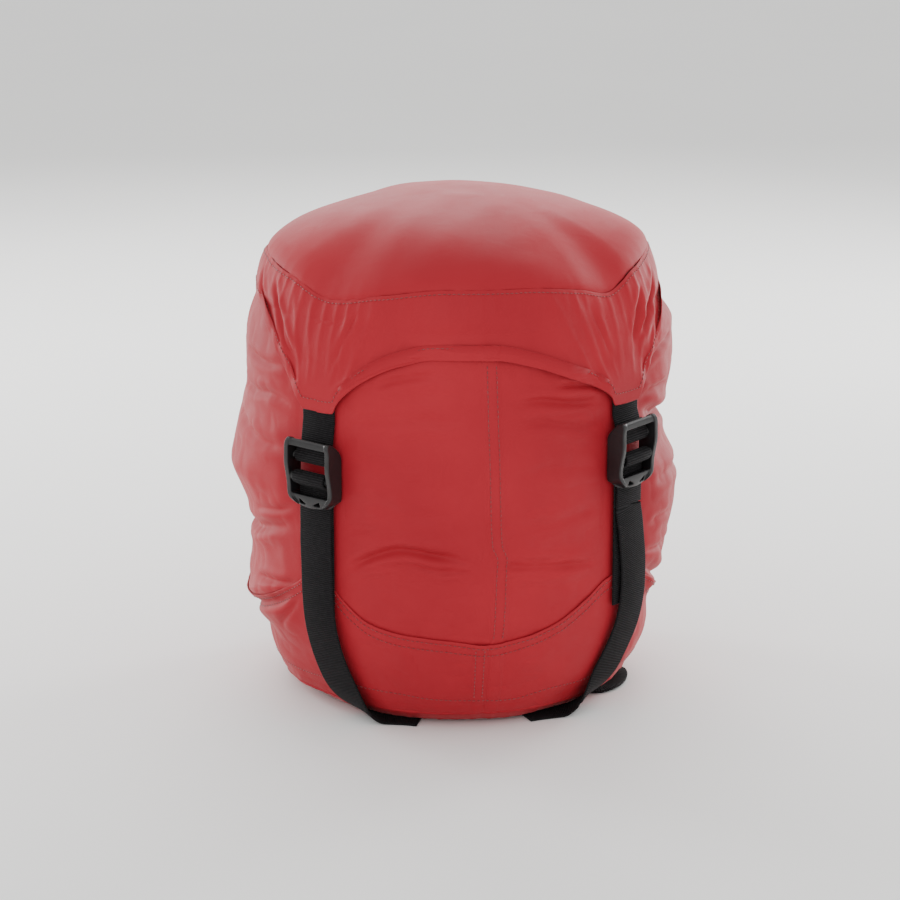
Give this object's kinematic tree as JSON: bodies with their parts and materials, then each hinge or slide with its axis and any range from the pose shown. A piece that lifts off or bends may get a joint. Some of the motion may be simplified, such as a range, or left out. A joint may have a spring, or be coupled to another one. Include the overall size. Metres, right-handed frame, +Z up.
{
  "type": "stuff sack",
  "caption": "Packed compression stuff sack: soft upright cylinder with a lid cap pulled down over its tied mouth by webbing straps and ladder-lock buckles.",
  "frame": {"origin": "centre of the flat contact patch under the base", "axes": "+Z up through the lid, -Y the front with the vertical body seam, +X to the right seen from the front"},
  "size_m": [0.2644, 0.2644, 0.32],
  "materials": {
    "nylon": "satin",
    "load": "matte",
    "webbing": "matte",
    "cord": "matte",
    "buckle_plastic": "satin",
    "eyelet_metal": "satin",
    "spring_steel": "satin"
  },
  "bodies": {
    "root": {"packed_load": "load", "sack_body": "nylon", "base_panel": "nylon", "base_cap": "nylon", "mouth_collar": "nylon", "eyelet": "eyelet_metal", "drawcord": "cord", "compression_strap_fl": "webbing", "compression_strap_fr": "webbing", "compression_strap_bl": "webbing", "compression_strap_br": "webbing"},
    "lid": {"lid_panel": "nylon", "lid_apron": "nylon", "upper_webbing_fl": "webbing", "upper_webbing_fr": "webbing", "upper_webbing_bl": "webbing", "upper_webbing_br": "webbing"},
    "buckle_fl": {"buckle_fl": "buckle_plastic"},
    "buckle_fr": {"buckle_fr": "buckle_plastic"},
    "buckle_bl": {"buckle_bl": "buckle_plastic"},
    "buckle_br": {"buckle_br": "buckle_plastic"},
    "cord_lock": {"cord_lock_barrel": "buckle_plastic", "cord_lock_spring": "spring_steel"},
    "plunger": {"cord_lock_plunger": "buckle_plastic"},
    "grab_loop": {"grab_loop": "webbing"}
  },
  "joints": [
    {"name": "lid_lift", "type": "slide", "parent": "root", "child": "lid", "axis": [0, 0, 1], "range_m": [0, 0.05], "deforming": ["compression_strap_fl", "compression_strap_fr", "compression_strap_bl", "compression_strap_br"]},
    {"name": "buckle_tilt_fl", "type": "hinge", "parent": "lid", "child": "buckle_fl", "pos_m": [-0.09702, -0.09702, 0.1745], "axis": [-0.7071, 0.7071, 0], "range_deg": [0, 30]},
    {"name": "buckle_tilt_fr", "type": "hinge", "parent": "lid", "child": "buckle_fr", "pos_m": [0.09702, -0.09702, 0.1825], "axis": [-0.7071, -0.7071, 0], "range_deg": [0, 30]},
    {"name": "buckle_tilt_bl", "type": "hinge", "parent": "lid", "child": "buckle_bl", "pos_m": [-0.09702, 0.09702, 0.1785], "axis": [0.7071, 0.7071, 0], "range_deg": [0, 30]},
    {"name": "buckle_tilt_br", "type": "hinge", "parent": "lid", "child": "buckle_br", "pos_m": [0.09702, 0.09702, 0.1775], "axis": [0.7071, -0.7071, 0], "range_deg": [0, 30]},
    {"name": "cord_lock_slide", "type": "slide", "parent": "root", "child": "cord_lock", "axis": [0, -1, 0], "range_m": [0, 0.012], "deforming": ["drawcord"]},
    {"name": "plunger_press", "type": "slide", "parent": "cord_lock", "child": "plunger", "axis": [0, 0, -1], "range_m": [0, 0.003], "stiffness_N_per_m": 900, "springref_m": -0.003, "deforming": ["cord_lock_spring"]},
    {"name": "grab_loop_swing", "type": "hinge", "parent": "root", "child": "grab_loop", "pos_m": [0.08436, -0.02741, 0.001], "axis": [-0.309, -0.9511, 0], "range_deg": [-90, 15]}
  ]
}
